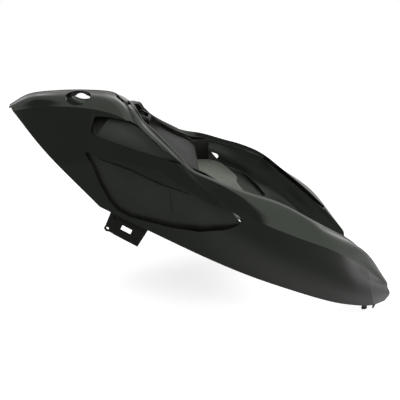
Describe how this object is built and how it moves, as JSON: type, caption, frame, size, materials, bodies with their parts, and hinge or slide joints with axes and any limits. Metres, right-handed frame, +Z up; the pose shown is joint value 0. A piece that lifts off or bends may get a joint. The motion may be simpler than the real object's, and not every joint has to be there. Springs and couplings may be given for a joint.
{
  "type": "scooter fairing panel",
  "caption": "Glossy rear body fairing of a scooter: a tail cowl around the seat well, with oval hand holes, vent inserts and sill brackets.",
  "frame": {"origin": "under the middle of the body on its symmetry plane, level with the tip of the lowest nose hook", "axes": "+X from the tail to the nose, +Y to the rider's left, +Z up, in the riding position"},
  "size_m": [0.774, 0.4254, 0.4443],
  "materials": {
    "body_gloss": "deep gloss black moulding",
    "insert_black": "satin black",
    "bracket_matte": "matte black, fine grained",
    "screw_steel": "zinc plated"
  },
  "bodies": {
    "root": {"tail_cowl": "body_gloss", "vent_insert_right": "insert_black", "vent_insert_left": "insert_black", "sill_bracket_right": "bracket_matte", "sill_bracket_left": "bracket_matte", "vent_screws": "screw_steel"}
  },
  "joints": []
}
